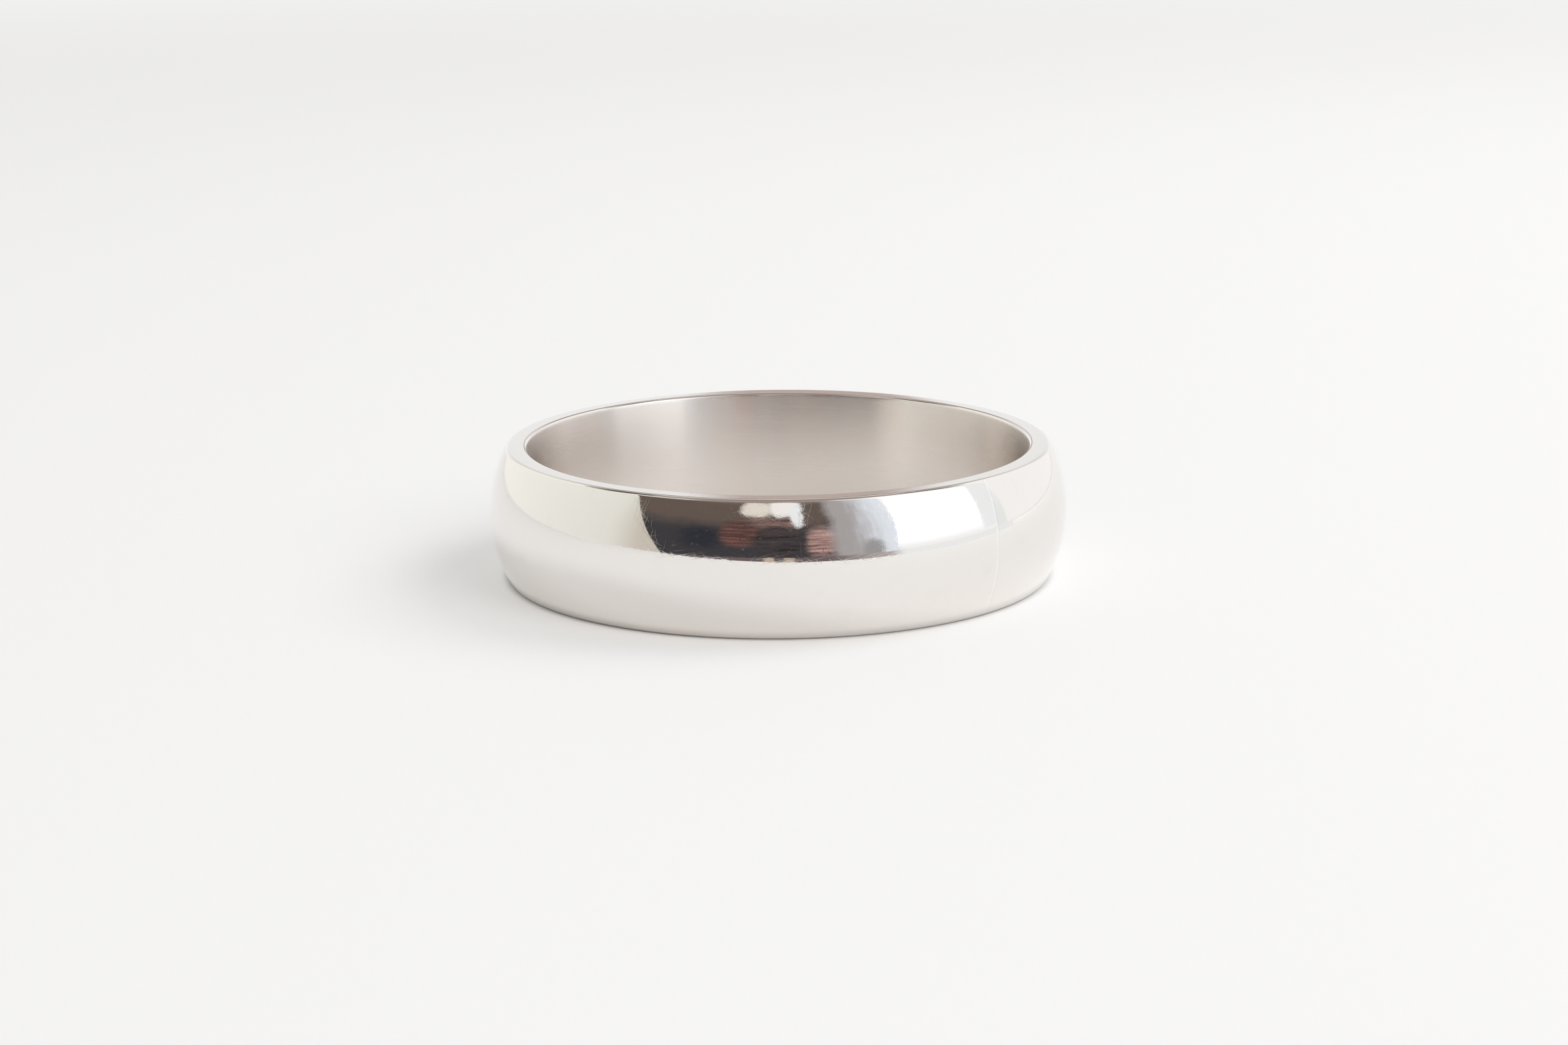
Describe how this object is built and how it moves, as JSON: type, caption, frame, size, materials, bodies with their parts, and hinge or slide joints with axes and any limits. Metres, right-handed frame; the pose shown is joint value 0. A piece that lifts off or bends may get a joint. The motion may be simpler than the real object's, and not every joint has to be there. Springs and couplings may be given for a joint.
{
  "type": "wedding band",
  "caption": "Plain polished half-round ring with flat rims, a slightly crowned inside and a soldered seam, worn on a finger.",
  "frame": {"origin": "centre of the finger hole, in the plane of the rim that the band stands on", "axes": "+Z along the axis that the finger goes through, up from the rim it stands on; -Y is the front; the seam is 46 degrees from -Y towards +X"},
  "size_m": [0.0217, 0.0216, 0.005],
  "materials": {
    "polished_metal": "mirror-polished silver-white precious metal, with fine handling scratches",
    "solder": "white solder, polished flush and slightly softer than the band"
  },
  "bodies": {
    "root": {"band": "polished_metal", "solder_seam": "solder"}
  },
  "joints": []
}
